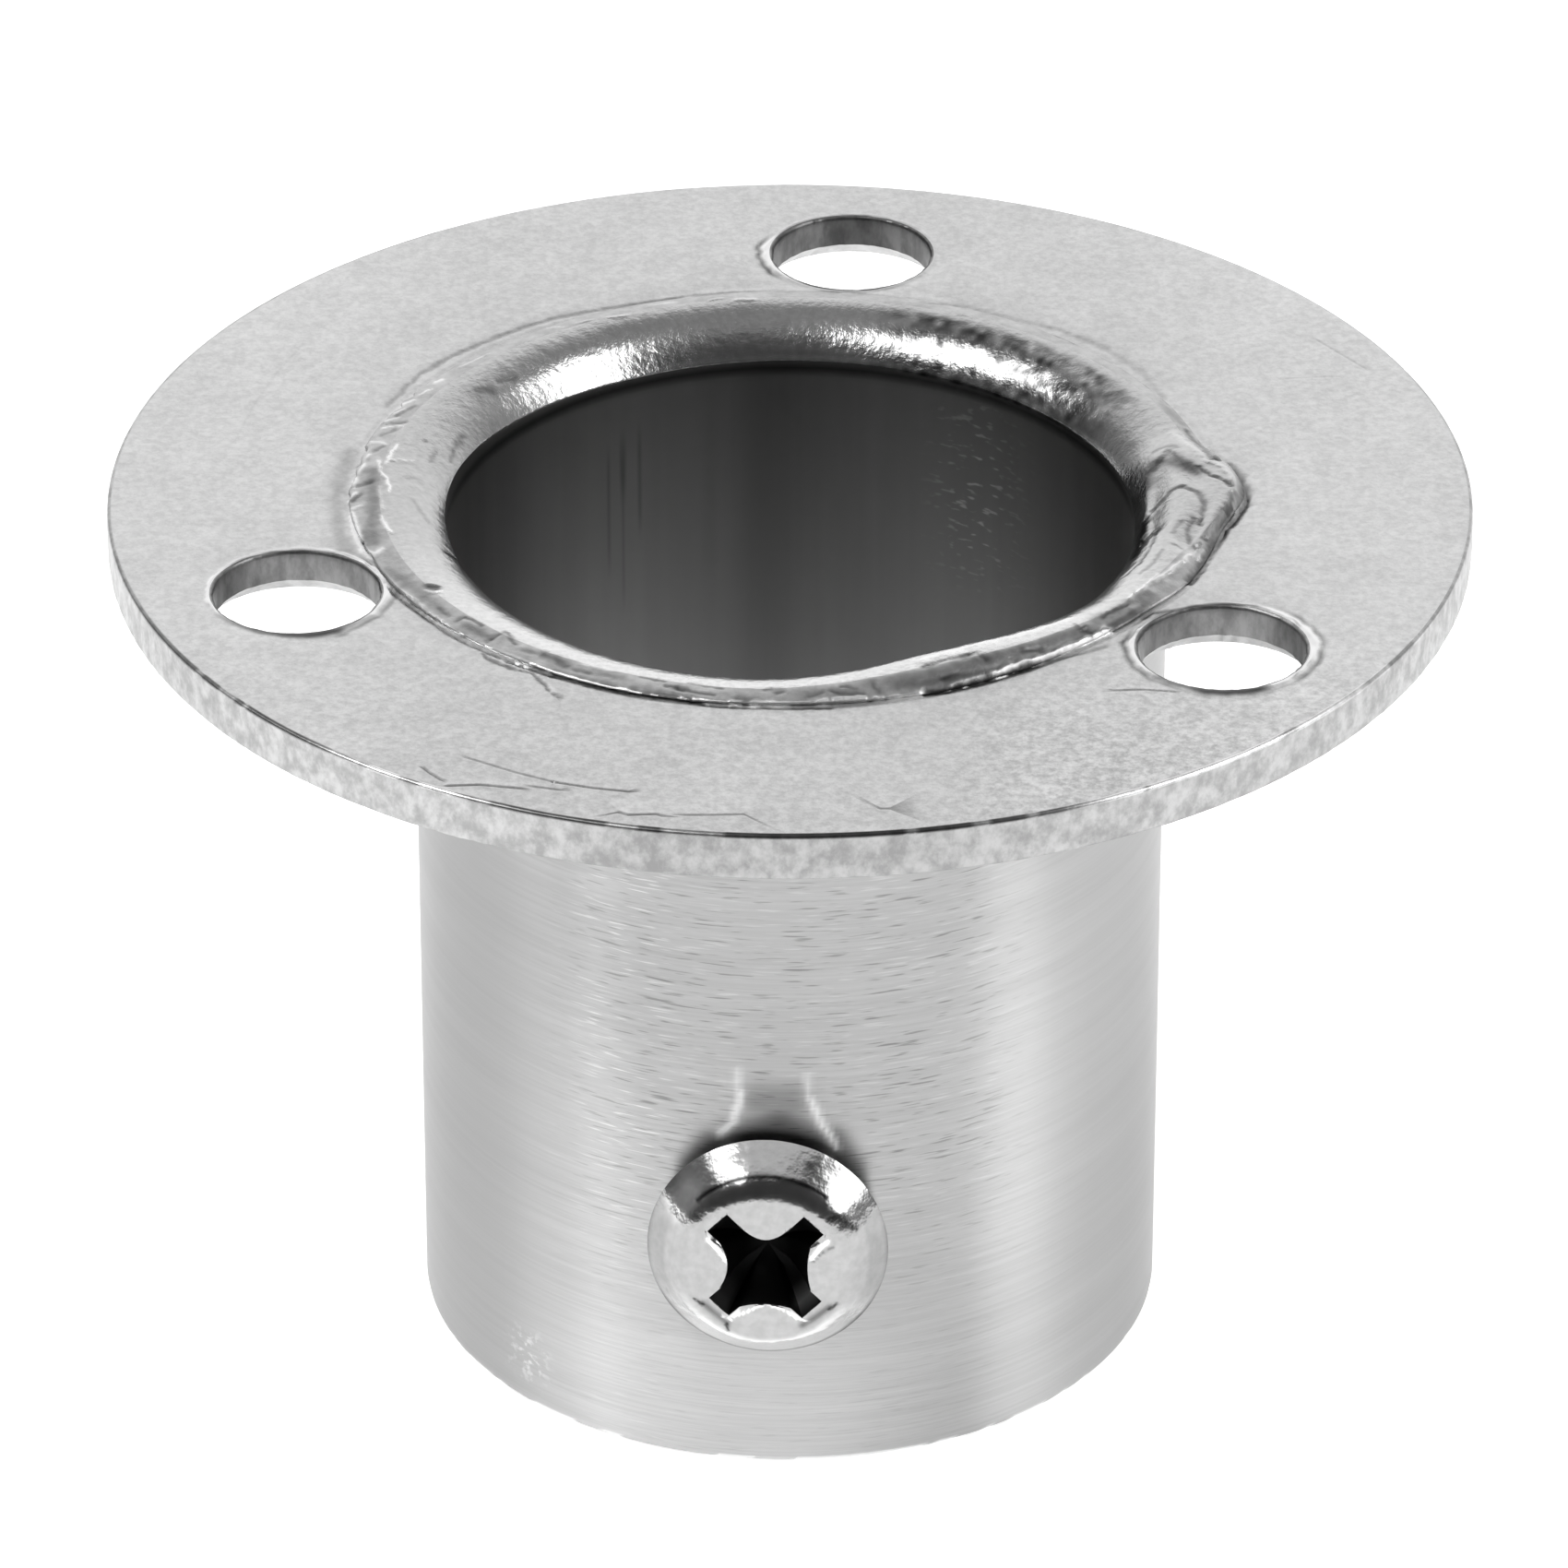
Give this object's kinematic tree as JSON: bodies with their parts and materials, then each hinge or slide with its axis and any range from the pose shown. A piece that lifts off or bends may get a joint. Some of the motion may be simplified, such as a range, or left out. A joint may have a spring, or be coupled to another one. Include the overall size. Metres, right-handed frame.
{
  "type": "closet rod flange",
  "caption": "Round wall flange for a closet rod: a steel plate with screw holes, and a tube socket rolled over its centre hole, with a side set screw.",
  "frame": {"origin": "on the socket's axis, in the plane of its open end", "axes": "+Z along the socket's axis, from the open end towards the wall; the set screw is on the -Y side"},
  "size_m": [0.05, 0.05, 0.0336],
  "materials": {
    "plate": "tumbled satin with fine scratches",
    "socket": "brushed around the tube, dull inside",
    "screw": "bright plated"
  },
  "bodies": {
    "root": {"flange_plate": "plate", "rod_socket": "socket", "set_screw": "screw"}
  },
  "joints": []
}
